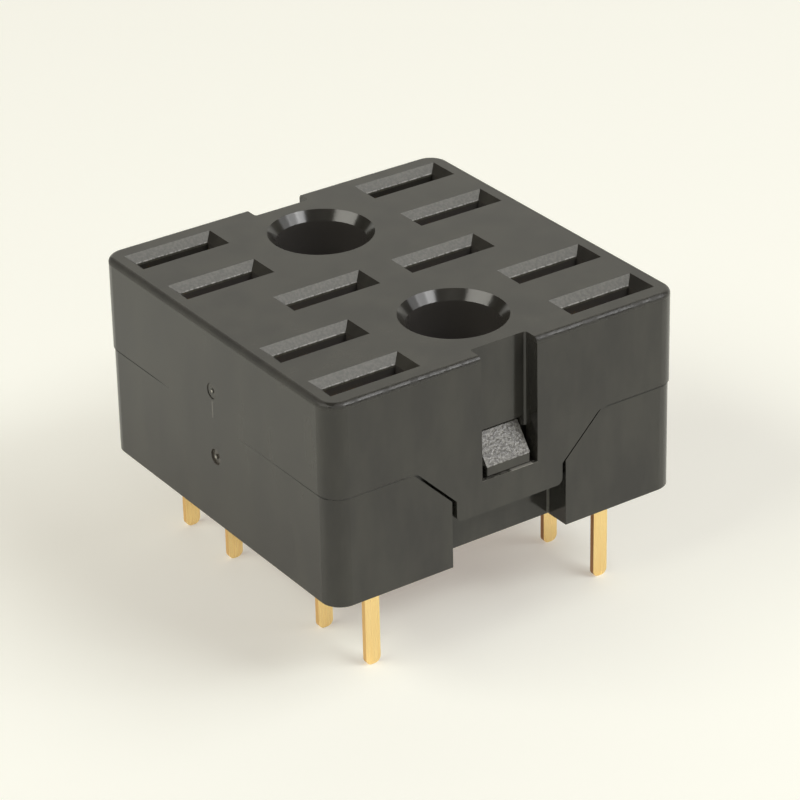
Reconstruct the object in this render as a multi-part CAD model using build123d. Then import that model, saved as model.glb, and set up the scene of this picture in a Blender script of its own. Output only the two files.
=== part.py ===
from build123d import *
import os

# Plug-in socket that carries a pushbutton switch on a pc board. Two black mouldings snap
# together and trap ten stamped contacts. The origin is the centre of the face that sits on
# the board, +Z is up, and the snap tabs are on the -Y and +Y faces. All sizes are in mm.

# Housing as a whole
side = 18.8
base_height = 5.3
cover_height = 4.6
base_inset = 0.06
corner_radius = 1.0
top_edge_radius = 0.25
seam_chamfer = 0.05
draft_angle = 0.35

# Grid of the switch's terminals: two outer columns of four, and one pair between them
column_spacing = 12.7
inner_spacing = 6.35
row_pitch = 3.81

# Blade slot in the top face, with its lead-in
slot_length = 3.76
slot_width = 0.88
lead_in_margin = 0.42
lead_in_depth = 0.35

# Cavity for a contact, in both mouldings
ceiling_thickness = 1.2
cavity_floor = 1.6
pocket_length = 2.06
pocket_width = 1.7
base_passage_length = 3.0
base_passage_width = 0.6

# Guide holes between the columns
guide_spacing = 10.5
guide_radius = 2.15
countersink_radius = 2.5
countersink_depth = 0.45

# Snap tab, its channel and its wedge, on the front and the back
channel_half_width = 3.1
channel_root_half = 5.1
channel_depth = 1.3
root_radius = 0.35
root_rise = 0.3
tab_thickness = 0.87
tab_gap = 0.22
tab_root_gap = 0.17
tab_bottom = 2.2
tab_corner_radius = 0.3
window_bottom = 3.8
notch_width = 3.0
notch_corner_radius = 0.15
wedge_width = 2.34
wedge_reach = 1.25
wedge_lip = 0.48
wedge_crown = 0.3
wedge_crown_rise = 0.28
wedge_nose_radius = 0.06
wedge_lip_clearance = 0.04
wedge_side_clearance = 0.06
wedge_top_clearance = 0.19

# Gates on the -X face: a shallow round dish with the broken-off stub in its middle
gate_radius = 0.38
gate_stub_radius = 0.12
cover_gate_depth = 0.04
cover_gate_rise = 1.48
base_gate_depth = 0.08
base_gate_height = 3.45

# Stamped contact
strip_thickness = 0.25
spring_width = 1.9
spring_side_clearance = 0.08
spring_top_clearance = 0.2
spring_bend_radius = 0.35
blade_gap = 0.3
mouth_gap = 1.1
throat_drop = 0.9
shoulder_height = 4.6
pin_width = 0.77
pin_length = 4.6
pin_tip_radius = 0.32
pin_slot_clearance = 0.05

# Worked out from the sizes above
total_height = base_height + cover_height
half_side = side / 2
base_side = side - 2 * base_inset
base_half = base_side / 2
ceiling = total_height - ceiling_thickness
channel_back = base_half - channel_depth
tab_half_width = channel_half_width - tab_gap
tab_root_half = channel_root_half - tab_root_gap
tab_back = half_side - tab_thickness
crown_height = base_height + wedge_crown_rise


def contact_places():
    columns = (-column_spacing / 2, column_spacing / 2)
    rows = (2, 1, -1, -2)
    left, right = ([(x, row * row_pitch) for row in rows] for x in columns)
    middle = [(-inner_spacing / 2, 0), (inner_spacing / 2, 0)]
    return left[:2] + middle[:1] + left[2:] + right[:2] + middle[1:] + right[2:]


def upright_block(length, width, low, high):
    return extrude(Plane.XY.offset(low) * Rectangle(length, width), high - low)


def both_faces(shape):
    return shape + Rot(0, 0, 180) * shape


# The outline that the tab and its channel share: wide at the seam, 45 degree shoulders,
# then straight down. It is drawn on the XZ plane and given its thickness along Y.
def latch_shape(half_width, root_half, bottom, low_corner_radius, y_outer, y_inner):
    wing = root_half + root_radius * 2
    knee = base_height - (root_half - half_width)
    right = [
        (half_width, bottom),
        (half_width, knee),
        (root_half, base_height),
        (wing, base_height),
        (wing, base_height + root_rise),
    ]
    left = [(-x, z) for x, z in reversed(right)]
    face = make_face(Polyline(*right, *left, close=True))
    roots = [v for v in face.vertices() if abs(abs(v.X) - root_half) < 1e-6]
    face = fillet(roots, root_radius)
    if low_corner_radius:
        corners = face.vertices().group_by(Axis.Y)[0]
        face = fillet(corners, low_corner_radius)
    upright = Plane(origin=(0, -y_inner, 0), x_dir=(1, 0, 0), z_dir=(0, -1, 0))
    return extrude(upright * face, y_outer - y_inner)


def guide_bores(low, high):
    return [
        Pos(0, sign * guide_spacing / 2, (low + high) / 2) * Cylinder(guide_radius, high - low)
        for sign in (-1, 1)
    ]


def gate_dish(face_x, height, depth):
    section = Circle(gate_radius) - Circle(gate_stub_radius)
    return extrude(Plane.YZ.offset(-face_x) * Pos(0, height) * section, depth, both=True)


# Upper housing
def lead_in():
    mouth = Rectangle(slot_length + 2 * lead_in_margin, slot_width + 2 * lead_in_margin)
    throat = Rectangle(slot_length, slot_width)
    return loft([Pos(0, 0, -lead_in_depth) * throat, mouth])


def countersink():
    cone = Cone(guide_radius, countersink_radius, countersink_depth)
    return Pos(0, 0, total_height - countersink_depth / 2) * cone


# The notch is as deep as the tab is thick, so one core drawn straight up forms it and the
# window below it
def notch_cut():
    plan = Pos(0, -half_side) * Rectangle(notch_width, 2 * tab_thickness)
    inner_corners = plan.vertices().group_by(Axis.Y)[-1]
    plan = fillet(inner_corners, notch_corner_radius)
    return extrude(Plane.XY.offset(base_height) * plan, total_height)


def window_cut():
    return Pos(0, -half_side, 0) * upright_block(
        notch_width, 2 * tab_thickness, window_bottom, base_height
    )


# The room that the wedge's crown takes behind the notch
def crown_recess():
    inner = channel_back - wedge_lip_clearance
    plan = Pos(0, -(half_side + inner) / 2) * Rectangle(
        wedge_width + 2 * wedge_side_clearance, half_side - inner
    )
    height = wedge_crown_rise + wedge_top_clearance
    return extrude(Plane.XY.offset(base_height) * plan, height)


def upper_housing():
    plan = RectangleRounded(side, side, corner_radius)
    body = extrude(Plane.XY.offset(base_height) * plan, cover_height, taper=draft_angle)
    body = fillet(body.edges().group_by(Axis.Z)[-1], top_edge_radius)
    body = chamfer(body.edges().group_by(Axis.Z)[0], seam_chamfer)
    tab = latch_shape(
        tab_half_width, tab_root_half, tab_bottom, tab_corner_radius, half_side, tab_back
    )
    body += both_faces(tab)
    body -= both_faces(notch_cut() + window_cut() + crown_recess())
    for x, y in contact_places():
        body -= Pos(x, y, total_height) * lead_in()
        body -= Pos(x, y, 0) * upright_block(slot_length, slot_width, base_height, total_height)
        body -= Pos(x, y, 0) * upright_block(pocket_length, pocket_width, base_height, ceiling)
    body -= guide_bores(base_height, total_height)
    for sign in (-1, 1):
        body -= Pos(0, sign * guide_spacing / 2, 0) * countersink()
    return body - gate_dish(half_side, base_height + cover_gate_rise, cover_gate_depth)


# Base
def wedge():
    lip_bottom = window_bottom + wedge_lip_clearance
    nose_y = -channel_back - wedge_reach
    profile = Polyline(
        (-channel_back, lip_bottom),
        (nose_y, lip_bottom),
        (nose_y, lip_bottom + wedge_lip),
        (-channel_back - wedge_crown, crown_height),
        (-channel_back, crown_height),
        close=True,
    )
    solid = extrude(Plane.YZ * make_face(profile), wedge_width / 2, both=True)
    return fillet(solid.faces().sort_by(Axis.Y)[0].edges(), wedge_nose_radius)


def base():
    plan = RectangleRounded(base_side, base_side, corner_radius - base_inset)
    body = extrude(Plane.XY.offset(base_height) * plan, -base_height, taper=-draft_angle)
    channel = latch_shape(
        channel_half_width, channel_root_half, -base_height, 0, half_side, channel_back
    )
    body -= both_faces(channel)
    body += both_faces(wedge())
    pin_slot_length = pin_width + 2 * pin_slot_clearance
    pin_slot_width = strip_thickness + 2 * pin_slot_clearance
    for x, y in contact_places():
        cavity = upright_block(pocket_length, pocket_width, cavity_floor, base_height)
        cavity += upright_block(base_passage_length, base_passage_width, cavity_floor, base_height)
        cavity += upright_block(pin_slot_length, pin_slot_width, 0, base_height)
        body -= Pos(x, y, 0) * cavity
    body -= guide_bores(0, base_height)
    return body - gate_dish(base_half, base_gate_height, base_gate_depth)


# Contact: a strip bent to a U whose leaves pinch the blade, with its flat pin below
def spring():
    low = cavity_floor + strip_thickness / 2
    top = ceiling - spring_top_clearance
    throat = top - throat_drop
    side_y = pocket_width / 2 - spring_side_clearance - strip_thickness / 2
    leaf = [
        (mouth_gap / 2, top),
        (blade_gap / 2 + strip_thickness / 2, throat),
        (side_y, shoulder_height),
        (side_y, low),
    ]
    path = FilletPolyline(*leaf, *[(-y, z) for y, z in reversed(leaf)], radius=spring_bend_radius)
    section = make_face(offset(path, amount=strip_thickness / 2, side=Side.BOTH))
    return extrude(Plane.YZ * section, spring_width / 2, both=True)


def pin():
    height = pin_length + cavity_floor + strip_thickness / 2
    blank = Pos(0, height / 2 - pin_length) * Rectangle(pin_width, height)
    tip = fillet(blank.vertices().group_by(Axis.Y)[0], pin_tip_radius)
    return extrude(Plane.XZ * tip, strip_thickness / 2, both=True)


def contact():
    return spring() + pin()


nodes = {"upper_housing": upper_housing(), "base": base()}
for number, (x, y) in enumerate(contact_places(), start=1):
    nodes[f"contact_{number}"] = Pos(x, y, 0) * contact()

os.makedirs("parts", exist_ok=True)
for name, shape in nodes.items():
    export_step(shape, f"parts/{name}.step")
    print(name, shape.is_valid, round(shape.volume, 3))
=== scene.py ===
import bpy, math
from mathutils import Matrix, Vector


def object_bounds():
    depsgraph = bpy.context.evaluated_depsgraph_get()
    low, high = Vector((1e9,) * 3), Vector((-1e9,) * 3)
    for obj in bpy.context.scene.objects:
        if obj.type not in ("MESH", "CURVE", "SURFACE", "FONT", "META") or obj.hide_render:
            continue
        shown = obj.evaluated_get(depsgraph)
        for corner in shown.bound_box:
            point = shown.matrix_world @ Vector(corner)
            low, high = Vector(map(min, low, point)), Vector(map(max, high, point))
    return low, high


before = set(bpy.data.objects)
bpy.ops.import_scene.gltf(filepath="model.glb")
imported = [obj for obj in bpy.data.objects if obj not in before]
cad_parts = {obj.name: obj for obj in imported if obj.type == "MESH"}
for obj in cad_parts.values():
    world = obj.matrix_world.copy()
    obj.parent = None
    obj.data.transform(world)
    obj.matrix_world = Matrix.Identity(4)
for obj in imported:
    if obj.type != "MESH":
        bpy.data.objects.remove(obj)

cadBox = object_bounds()
mm = 0.001
print("frame loaded")


# Colours and nodes

def hexToLinear(code):
    channels = [int(code[i:i + 2], 16) / 255 for i in (1, 3, 5)]
    linear = [c / 12.92 if c <= 0.04045 else ((c + 0.055) / 1.055) ** 2.4 for c in channels]
    return (*linear, 1)


def addNode(tree, kind, settings=None, inputs=None):
    node = tree.nodes.new(kind)
    for name, value in (settings or {}).items():
        setattr(node, name, value)
    for name, value in (inputs or {}).items():
        if isinstance(value, bpy.types.NodeSocket):
            tree.links.new(value, node.inputs[name])
        else:
            node.inputs[name].default_value = value
    return node


def startMaterial(name):
    material = bpy.data.materials.new(name)
    material.use_nodes = True
    tree = material.node_tree
    tree.nodes.clear()
    return material, tree


# Black PBT, glass filled and injection moulded: a nearly black body under a satin skin, with
# faint flow marks. The steel of the mould gives each place its own finish. Spark eroded steel
# leaves the lead-in slopes and the wedges coarse, and they are painted paler with pale specks, a
# painted sheen and sparkle of the lamps on that coarse surface. Polished steel leaves the
# countersinks and the latch recesses glossy. The bores and the inside are painted greyer, a
# painted lift of the shade in them. The rims are rubbed, a flow line runs down from the upper
# gate, and the seam is painted dark as painted shade in the joint. The lower gate's dish is
# painted paler against its shade, and painted highlights stand on the torn gate stubs, the
# window's sill, the lips of the slopes and the channel's corners.

# Places are boxes of low and high limits in mm, and a finish may have several. x and y count
# from the middle of the part to either side, rightwards and backwards to one side only. The
# from... measures are distances from the axes in "rounds", and tilt is the face normal's x. A
# limit of 10 or 20 lies beyond the part. Strength is how much of a finish shows, and one with
# fadeMm comes in between those two places, counted backwards.
leadIn = {"x": (0, 8.9), "y": (0, 8.5), "z": (9.45, 9.895)}
slope = {"fromSink": (2.55, 20), "tilt": (-0.4, 0.4)}
leftFace = {"rightwards": (-10, -9.2)}
topRim = {"z": (9.62, 10)}
sill = {"y": (9.2, 10), "z": (3.78, 3.81)}
seamBand = {"z": (5.255, 5.365)}
# Painted shade for the seam between cover and base: a near black, matt band
paintedSeamShade = {"colour": "#060606", "roughness": 0.9}

blackPbt = {
    "colour": "#2f2d2a",
    "paleColour": "#3a3833",
    "roughness": 0.2,
    "paleRoughness": 0.25,
    "patterns": {
        # Flow marks, drawn out along the way the melt ran
        "marks": {"mm": 1.4, "stretch": 0.35, "detail": 3, "contrast": (0.35, 0.65)},
        # Craters of spark erosion, some 0.04 mm wide, drawn as coarse as they need to show
        "pits": {"mm": 0.13, "stretch": 1, "detail": 3, "contrast": (0.4, 0.62)},
        # Knocks along the rims
        "rubs": {"mm": 0.45, "stretch": 1, "detail": 2, "contrast": (0.45, 0.6)},
        # Skin over the glass fibres, which are 0.01 mm thick, also drawn coarser than it is
        "grain": {"mm": 0.08, "stretch": 1, "detail": 2, "contrast": (0, 1)},
    },
    "grainDepthMm": 0.004,
    "grainStrength": 0.3,
    "pitStrength": 0.7,
    # Axis of the countersinks and of the two gates: which two measures, and the second's middle
    "rounds": {
        "fromSink": ("x", "y", 5.25),
        "fromHighGate": ("y", "z", 6.78),
        "fromLowGate": ("y", "z", 3.45),
    },
    # Each finish is laid over those above it
    "finishes": {
        # Painted lift of shade: the bores and the hidden inside are painted greyer than the body
        "bores": {
            "where": [
                {"x": (0, 8.9), "y": (0, 7.9), "z": (0.05, 9.45)},
                {"x": (0, 8.9), "y": (0, 7.9), "z": (0.05, 9.54), "fromSink": (2.55, 20)}],
            "colour": "#44413e"},
        "latchRecesses": {
            "where": [{"x": (0, 5.3), "y": (7.9, 9.3)}],
            "roughness": 0.14},
        "countersinks": {
            "where": [{**leadIn, "fromSink": (0, 2.55)}],
            "roughness": 0.15},
        "rims": {
            "where": [{**topRim, "x": (9.12, 10)}, {**topRim, "y": (9.12, 10)}],
            "roughness": 0.24, "depthMm": 0.02},
        # Coarse eroded slopes, painted paler with pale specks as a painted sheen of the lamps
        "slopesAndGates": {
            "where": [
                {**leadIn, **slope},
                {**leftFace, "fromHighGate": (0, 0.385)},
                {**leftFace, "fromLowGate": (0, 0.385)}],
            "colour": "#4f4d45", "paleColour": "#5b5950", "roughness": 0.27, "depthMm": 0.012},
        # Coarse wedges, painted pale with pale specks as a painted sheen and sparkle of the
        # lamps
        "wedges": {
            "where": [{"x": (0, 1.2), "y": (8.05, 10), "z": (4.31, 5.6)}],
            "colour": "#5a5752", "paleColour": "#898680", "roughness": 0.2, "depthMm": 0.03},
        "rubbedSideRims": {
            "where": [{**topRim, "x": (9.12, 10)}],
            "roughness": 0.5},
        "rubbedEndRims": {
            "where": [{**topRim, "y": (9.12, 10)}],
            "brokenBy": "rubs", "roughness": 0.5},
        # Painted highlight along the lower lips of the slopes, broken into glints
        "slopeLipGlints": {
            "where": [{**leadIn, **slope, "z": (9.535, 9.585)}],
            "brokenBy": "pits", "colour": "#8f8c86"},
        # Painted seam shade, fading or weaker in places along the sides
        "leftSeamFar": {
            "where": [{**seamBand, **leftFace}],
            "fadeMm": (3.8, 5.2), "strength": 0.9, **paintedSeamShade},
        "leftSeamNear": {
            "where": [{**seamBand, **leftFace}],
            "fadeMm": (-1.5, -8.5), "strength": 0.75, **paintedSeamShade},
        "endSeamLeft": {
            "where": [{**seamBand, "rightwards": (-9.2, -5.3), "y": (9.2, 10)}],
            "strength": 0.3, **paintedSeamShade},
        "seamRight": {
            "where": [
                {**seamBand, "rightwards": (5.3, 10), "y": (9.2, 10)},
                {**seamBand, "rightwards": (9.2, 10)}],
            "strength": 0.6, **paintedSeamShade},
        # Painted glints along the window's sill
        "sillGlints": {
            "where": [{**sill, "x": (0, 1.5)}],
            "brokenBy": "pits", "strength": 0.35, "colour": "#8d8a83"},
        "sillGlintsRight": {
            "where": [{**sill, "rightwards": (0.1, 1.25)}],
            "colour": "#8d8a83"},
        "highGate": {
            "where": [{**leftFace, "fromHighGate": (0, 0.385)}],
            "colour": "#3a3833"},
        # Painted paler to lift the shade in the lower gate's dish
        "lowGate": {
            "where": [{**leftFace, "fromLowGate": (0, 0.385)}],
            "colour": "#55504a"},
        # Painted glint on the gate stubs
        "gateStubs": {
            "where": [
                {**leftFace, "fromHighGate": (0, 0.06)},
                {**leftFace, "fromLowGate": (0, 0.06)}],
            "colour": "#a8a296"},
        # Painted highlight in the channel's corners, where the rounded corner catches the light
        "channelCornerHighlights": {
            "where": [{"x": (3.02, 3.12), "y": (7.9, 8.15), "z": (-5, 2.25)}],
            "colour": "#7a7771"},
        "flowLine": {
            "where": [{**leftFace, "y": (0, 0.05), "z": (5.45, 6.3)}],
            "colour": "#5c5954"},
    },
}


def makeBlackPbt():
    look = blackPbt
    material, tree = startMaterial("blackPbt")
    coordinates = addNode(tree, "ShaderNodeTexCoord")
    place = addNode(tree, "ShaderNodeVectorMath", {"operation": "SCALE"}, {
        0: coordinates.outputs["Object"], "Scale": 1 / mm}).outputs["Vector"]
    folded = addNode(tree, "ShaderNodeVectorMath", {"operation": "ABSOLUTE"}, {0: place})
    signed = addNode(tree, "ShaderNodeSeparateXYZ", None, {0: place})
    sides = addNode(tree, "ShaderNodeSeparateXYZ", None, {0: folded.outputs["Vector"]})
    turned = addNode(tree, "ShaderNodeSeparateXYZ", None, {0: coordinates.outputs["Normal"]})
    measures = {
        "x": sides.outputs["X"], "y": sides.outputs["Y"], "z": signed.outputs["Z"],
        "rightwards": signed.outputs["X"], "backwards": signed.outputs["Y"],
        "tilt": turned.outputs["X"]}
    for name, (first, second, middle) in look["rounds"].items():
        flat = addNode(tree, "ShaderNodeCombineXYZ", None, {
            "X": measures[first], "Y": measures[second]})
        measures[name] = addNode(tree, "ShaderNodeVectorMath", {"operation": "DISTANCE"}, {
            0: flat.outputs["Vector"], 1: (0, middle, 0)}).outputs["Value"]

    heights, patterns = {}, {}
    for name, pattern in look["patterns"].items():
        stretched = addNode(tree, "ShaderNodeVectorMath", {"operation": "MULTIPLY"}, {
            0: place, 1: (1, 1, pattern["stretch"])})
        heights[name] = addNode(tree, "ShaderNodeTexNoise", None, {
            "Vector": stretched.outputs["Vector"], "Scale": 1 / pattern["mm"],
            "Detail": pattern["detail"]}).outputs["Fac"]
        low, high = pattern["contrast"]
        patterns[name] = addNode(tree, "ShaderNodeMapRange", None, {
            "Value": heights[name], "From Min": low, "From Max": high}).outputs["Result"]

    tone = addNode(tree, "ShaderNodeMix", {"data_type": "RGBA"}, {
        "Factor": patterns["marks"], 6: hexToLinear(look["colour"]),
        7: hexToLinear(look["paleColour"])}).outputs[2]
    roughness = addNode(tree, "ShaderNodeMix", None, {
        "Factor": patterns["marks"], "A": look["roughness"],
        "B": look["paleRoughness"]}).outputs["Result"]
    depth = 0
    for finish in look["finishes"].values():
        mask = 0
        for box in finish["where"]:
            inside = finish.get("strength", 1)
            for measure, (low, high) in box.items():
                within = addNode(tree, "ShaderNodeMath", {"operation": "COMPARE"}, {
                    0: measures[measure], 1: (low + high) / 2, 2: (high - low) / 2})
                inside = addNode(tree, "ShaderNodeMath", {"operation": "MULTIPLY"}, {
                    0: inside, 1: within.outputs[0]}).outputs[0]
            mask = addNode(tree, "ShaderNodeMath", {"operation": "MAXIMUM"}, {
                0: mask, 1: inside}).outputs[0]
        if "brokenBy" in finish:
            mask = addNode(tree, "ShaderNodeMath", {"operation": "MULTIPLY"}, {
                0: mask, 1: patterns[finish["brokenBy"]]}).outputs[0]
        if "fadeMm" in finish:
            start, end = finish["fadeMm"]
            fade = addNode(tree, "ShaderNodeMapRange", None, {
                "Value": measures["backwards"], "From Min": start, "From Max": end})
            mask = addNode(tree, "ShaderNodeMath", {"operation": "MULTIPLY"}, {
                0: mask, 1: fade.outputs["Result"]}).outputs[0]
        if "colour" in finish:
            colour = hexToLinear(finish["colour"])
            if "paleColour" in finish:
                colour = addNode(tree, "ShaderNodeMix", {"data_type": "RGBA"}, {
                    "Factor": patterns["pits"], 6: colour,
                    7: hexToLinear(finish["paleColour"])}).outputs[2]
            tone = addNode(tree, "ShaderNodeMix", {"data_type": "RGBA"}, {
                "Factor": mask, 6: tone, 7: colour}).outputs[2]
        if "roughness" in finish:
            roughness = addNode(tree, "ShaderNodeMix", None, {
                "Factor": mask, "A": roughness, "B": finish["roughness"]}).outputs["Result"]
        if "depthMm" in finish:
            depth = addNode(tree, "ShaderNodeMix", None, {
                "Factor": mask, "A": depth, "B": finish["depthMm"] * mm}).outputs["Result"]

    fine = addNode(tree, "ShaderNodeBump", None, {
        "Height": heights["grain"], "Distance": look["grainDepthMm"] * mm,
        "Strength": look["grainStrength"]})
    coarse = addNode(tree, "ShaderNodeBump", None, {
        "Height": heights["pits"], "Distance": depth,
        "Strength": look["pitStrength"], "Normal": fine.outputs["Normal"]})
    shader = addNode(tree, "ShaderNodeBsdfPrincipled", None, {
        "Base Color": tone, "Roughness": roughness, "Normal": coarse.outputs["Normal"]})
    addNode(tree, "ShaderNodeOutputMaterial", None, {"Surface": shader.outputs["BSDF"]})
    return material


# Gold plate over stamped copper alloy strip. The rolled faces are bright, with faint lines
# along the pin from the die, drawn coarser than the real 0.01 mm so that they show. The cut
# edges are rougher, and those of the right-hand contacts are painted browner, a painted
# reflection of the dark underside of the housing.

goldPlate = {
    "colour": "#ffe7a8",
    "dullColour": "#fbd18a",
    "edgeColour": "#f0c682",
    "shadedEdgeColour": "#a87c55",
    "roughness": 0.22,
    "lineRoughness": 0.34,
    "edgeRoughness": 0.4,
    "edgeTilt": 0.7,
    "lineMm": 0.06,
    "lineDetail": 2,
    "lineLengthMm": 2.5,
    "lineDepthMm": 0.002,
    "lineStrength": 0.4,
}


def makeGoldPlate():
    look = goldPlate
    material, tree = startMaterial("goldPlate")
    coordinates = addNode(tree, "ShaderNodeTexCoord")
    place = coordinates.outputs["Object"]
    stretch = addNode(tree, "ShaderNodeMapping", None, {
        "Vector": place, "Scale": (1, 1, look["lineMm"] / look["lineLengthMm"])})
    lines = addNode(tree, "ShaderNodeTexNoise", None, {
        "Vector": stretch.outputs["Vector"], "Scale": 1 / (look["lineMm"] * mm),
        "Detail": look["lineDetail"]})
    faceTone = addNode(tree, "ShaderNodeMix", {"data_type": "RGBA"}, {
        "Factor": lines.outputs["Fac"], 6: hexToLinear(look["colour"]),
        7: hexToLinear(look["dullColour"])})
    faceRoughness = addNode(tree, "ShaderNodeMapRange", None, {
        "Value": lines.outputs["Fac"], "To Min": look["roughness"],
        "To Max": look["lineRoughness"]})

    turned = addNode(tree, "ShaderNodeSeparateXYZ", None, {0: coordinates.outputs["Normal"]})
    sideways = addNode(tree, "ShaderNodeMath", {"operation": "ABSOLUTE"}, {
        0: turned.outputs["X"]})
    cutEdge = addNode(tree, "ShaderNodeMath", {"operation": "GREATER_THAN"}, {
        0: sideways.outputs[0], 1: look["edgeTilt"]})
    position = addNode(tree, "ShaderNodeSeparateXYZ", None, {0: place})
    # Cut edges of the right-hand contacts are painted browner as a painted reflection of the
    # housing's dark underside
    onRight = addNode(tree, "ShaderNodeMath", {"operation": "GREATER_THAN"}, {
        0: position.outputs["X"], 1: 0})
    edgeTone = addNode(tree, "ShaderNodeMix", {"data_type": "RGBA"}, {
        "Factor": onRight.outputs[0], 6: hexToLinear(look["edgeColour"]),
        7: hexToLinear(look["shadedEdgeColour"])})
    tone = addNode(tree, "ShaderNodeMix", {"data_type": "RGBA"}, {
        "Factor": cutEdge.outputs[0], 6: faceTone.outputs[2], 7: edgeTone.outputs[2]})
    roughness = addNode(tree, "ShaderNodeMix", None, {
        "Factor": cutEdge.outputs[0], "A": faceRoughness.outputs["Result"],
        "B": look["edgeRoughness"]})
    bump = addNode(tree, "ShaderNodeBump", None, {
        "Height": lines.outputs["Fac"], "Strength": look["lineStrength"],
        "Distance": look["lineDepthMm"] * mm})
    shader = addNode(tree, "ShaderNodeBsdfPrincipled", None, {
        "Base Color": tone.outputs[2], "Metallic": 1,
        "Roughness": roughness.outputs["Result"], "Normal": bump.outputs["Normal"]})
    addNode(tree, "ShaderNodeOutputMaterial", None, {"Surface": shader.outputs["BSDF"]})
    return material


blackMaterial = makeBlackPbt()
goldMaterial = makeGoldPlate()
for nodeName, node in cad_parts.items():
    node.data.materials.clear()
    node.data.materials.append(goldMaterial if nodeName.startswith("contact") else blackMaterial)
print("materials made")


# Studio: pale floor and low backdrop all round, a back card, and soft boxes in a dim room.
# Sizes are in metres, angles in degrees, and azimuth 0 is straight in front of the part.

studio = {
    "floorColour": "#dfe4dc",
    "glowColour": "#fff0e5",
    "floorGlow": 0.325,
    "floorSize": 6.0,
    "backdropColour": "#f6f5ec",
    "backdropStrength": 1,
    "backdropTop": 9,
    "backdropFade": 5,
    "roomColour": "#fff8ee",
    "roomStrength": 0.01,
    "cardColour": "#fffdf0",
    "cardStrength": 0.77,
    "cardAzimuth": 140,
    "cardElevation": 12,
    "cardInner": 30,
    "cardOuter": 50,
    "boxDistance": 0.5,
}


def directionTo(azimuth, elevation):
    a, e = math.radians(azimuth), math.radians(elevation)
    return Vector((math.sin(a) * math.cos(e), -math.cos(a) * math.cos(e), math.sin(e)))


# Matt paper, under a faint glow that only the camera and mirror-like surfaces see: it lifts the
# floor towards white as in the photograph, and puts no more light on the part
def makeFloor():
    low = cadBox[0].z
    bpy.ops.object.select_all(action="DESELECT")
    bpy.ops.mesh.primitive_plane_add(size=studio["floorSize"], location=(0, 0, low))
    floor = bpy.context.object
    floor.name = "studioFloor"
    material, tree = startMaterial("studioPaper")
    paper = addNode(tree, "ShaderNodeBsdfDiffuse", None, {
        "Color": hexToLinear(studio["floorColour"])})
    ray = addNode(tree, "ShaderNodeLightPath")
    seen = addNode(tree, "ShaderNodeMath", {"operation": "MAXIMUM"}, {
        0: ray.outputs["Is Camera Ray"], 1: ray.outputs["Is Glossy Ray"]})
    seen = addNode(tree, "ShaderNodeMath", {"operation": "MAXIMUM"}, {
        0: seen.outputs[0], 1: ray.outputs["Is Transmission Ray"]})
    strength = addNode(tree, "ShaderNodeMath", {"operation": "MULTIPLY"}, {
        0: seen.outputs[0], 1: studio["floorGlow"]})
    glow = addNode(tree, "ShaderNodeEmission", None, {
        "Color": hexToLinear(studio["glowColour"]), "Strength": strength.outputs[0]})
    shader = addNode(tree, "ShaderNodeAddShader", None, {
        0: paper.outputs["BSDF"], 1: glow.outputs["Emission"]})
    addNode(tree, "ShaderNodeOutputMaterial", None, {"Surface": shader.outputs["Shader"]})
    floor.data.materials.append(material)


# The backdrop is a pale band along the horizon, and the back card a soft edged disc above it
def makeWorld():
    world = bpy.data.worlds.new("studioWorld")
    bpy.context.scene.world = world
    world.use_nodes = True
    tree = world.node_tree
    tree.nodes.clear()
    sight = addNode(tree, "ShaderNodeTexCoord").outputs["Generated"]
    facing = addNode(tree, "ShaderNodeVectorMath", {"operation": "DOT_PRODUCT"}, {
        0: sight, 1: directionTo(studio["cardAzimuth"], studio["cardElevation"])})
    card = addNode(tree, "ShaderNodeMapRange", {"interpolation_type": "SMOOTHSTEP"}, {
        "Value": facing.outputs["Value"],
        "From Min": math.cos(math.radians(studio["cardOuter"])),
        "From Max": math.cos(math.radians(studio["cardInner"]))})
    height = addNode(tree, "ShaderNodeSeparateXYZ", None, {0: sight}).outputs["Z"]
    backdrop = addNode(tree, "ShaderNodeMapRange", {"interpolation_type": "SMOOTHSTEP"}, {
        "Value": height,
        "From Min": math.sin(math.radians(studio["backdropTop"] + studio["backdropFade"])),
        "From Max": math.sin(math.radians(studio["backdropTop"]))})
    room = addNode(tree, "ShaderNodeBackground", None, {
        "Color": hexToLinear(studio["roomColour"]), "Strength": studio["roomStrength"]})
    backCard = addNode(tree, "ShaderNodeBackground", None, {
        "Color": hexToLinear(studio["cardColour"]), "Strength": studio["cardStrength"]})
    pale = addNode(tree, "ShaderNodeBackground", None, {
        "Color": hexToLinear(studio["backdropColour"]),
        "Strength": studio["backdropStrength"]})
    lit = addNode(tree, "ShaderNodeMixShader", None, {
        0: card.outputs["Result"], 1: room.outputs["Background"],
        2: backCard.outputs["Background"]})
    sky = addNode(tree, "ShaderNodeMixShader", None, {
        0: backdrop.outputs["Result"], 1: lit.outputs["Shader"], 2: pale.outputs["Background"]})
    addNode(tree, "ShaderNodeOutputWorld", None, {"Surface": sky.outputs["Shader"]})


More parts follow.
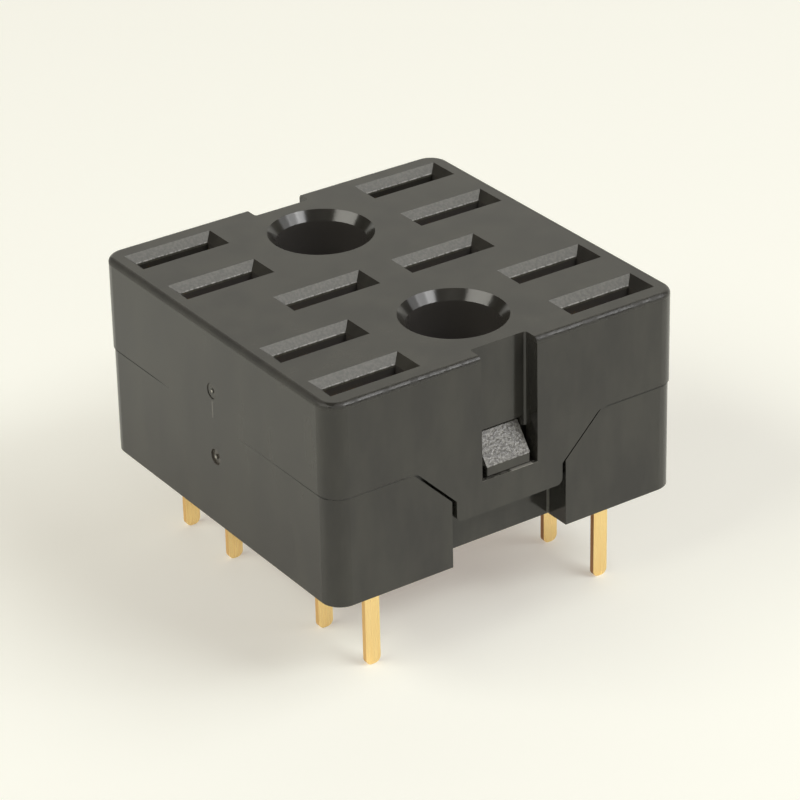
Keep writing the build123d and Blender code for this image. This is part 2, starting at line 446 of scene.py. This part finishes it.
# Each box is given by where it stands, its half angles as seen from the part, and its radiance.
# The side fill isn't mirrored: it stands so low that it would glare on the top from behind.
softBoxes = {
    "leftBox": {
        "azimuth": -100, "elevation": 43, "halfWide": 23, "halfHigh": 9,
        "radiance": 5.4, "colour": "#fffdf3", "mirrored": True},
    "rightBox": {
        "azimuth": 22, "elevation": 47, "halfWide": 7, "halfHigh": 8,
        "radiance": 8.5, "colour": "#ffffff", "mirrored": True},
    "rightFill": {
        "azimuth": 42, "elevation": 40, "halfWide": 10, "halfHigh": 9,
        "radiance": 4.5, "colour": "#ffffff", "mirrored": True},
    "rightEdge": {
        "azimuth": 62, "elevation": 31, "halfWide": 10, "halfHigh": 8,
        "radiance": 1.8, "colour": "#ffffff", "mirrored": True},
    "sideFill": {
        "azimuth": 54, "elevation": 9, "halfWide": 12, "halfHigh": 7,
        "radiance": 5.5, "colour": "#ffffff", "mirrored": False},
    "overhead": {
        "azimuth": 62, "elevation": 58, "halfWide": 16, "halfHigh": 9,
        "radiance": 3.1, "colour": "#ffffff", "mirrored": True},
    "frontFill": {
        "azimuth": -34, "elevation": 38, "halfWide": 20, "halfHigh": 10,
        "radiance": 1.2, "colour": "#ffffff", "mirrored": True},
}


def makeSoftBox(name, box):
    distance = studio["boxDistance"]
    light = bpy.data.lights.new(name, "AREA")
    light.shape = "RECTANGLE"
    light.color = hexToLinear(box["colour"])[:3]
    light.size = 2 * distance * math.tan(math.radians(box["halfWide"]))
    light.size_y = 2 * distance * math.tan(math.radians(box["halfHigh"]))
    light.energy = box["radiance"] * math.pi * light.size * light.size_y
    lamp = bpy.data.objects.new(name, light)
    bpy.context.scene.collection.objects.link(lamp)
    towards = directionTo(box["azimuth"], box["elevation"])
    lamp.location = towards * distance
    lamp.rotation_mode = "QUATERNION"
    lamp.rotation_quaternion = (-towards).to_track_quat("-Z", "Y")
    lamp.visible_camera = False
    lamp.visible_glossy = box["mirrored"]


# Fitted to the edges of the part in the photograph
cameraView = {
    "azimuth": -34.203,
    "elevation": 28.152,
    "roll": -1.245,
    "distanceMm": 153.875,
    "offsetRightMm": 0.46,
    "offsetUpMm": 2.928,
    "lens": 149.127,
    "sensor": 36,
    "clipStart": 0.01,
    "clipEnd": 10,
}


def makeCamera():
    data = bpy.data.cameras.new("camera")
    data.lens = cameraView["lens"]
    data.sensor_width = cameraView["sensor"]
    data.clip_start = cameraView["clipStart"]
    data.clip_end = cameraView["clipEnd"]
    camera = bpy.data.objects.new("camera", data)
    bpy.context.scene.collection.objects.link(camera)
    back = directionTo(cameraView["azimuth"], cameraView["elevation"])
    level = Vector((0, 0, 1)).cross(back).normalized()
    upright = back.cross(level)
    turn = math.radians(cameraView["roll"])
    right = level * math.cos(turn) + upright * math.sin(turn)
    up = upright * math.cos(turn) - level * math.sin(turn)
    place = back * cameraView["distanceMm"]
    place += right * cameraView["offsetRightMm"] + up * cameraView["offsetUpMm"]
    facing = Matrix((right, up, back)).transposed().to_4x4()
    camera.matrix_world = Matrix.Translation(place * mm) @ facing
    bpy.context.scene.camera = camera


makeFloor()
makeWorld()
for boxName, box in softBoxes.items():
    makeSoftBox(boxName, box)
makeCamera()
bpy.context.scene.view_settings.view_transform = "Standard"
print("studio made")
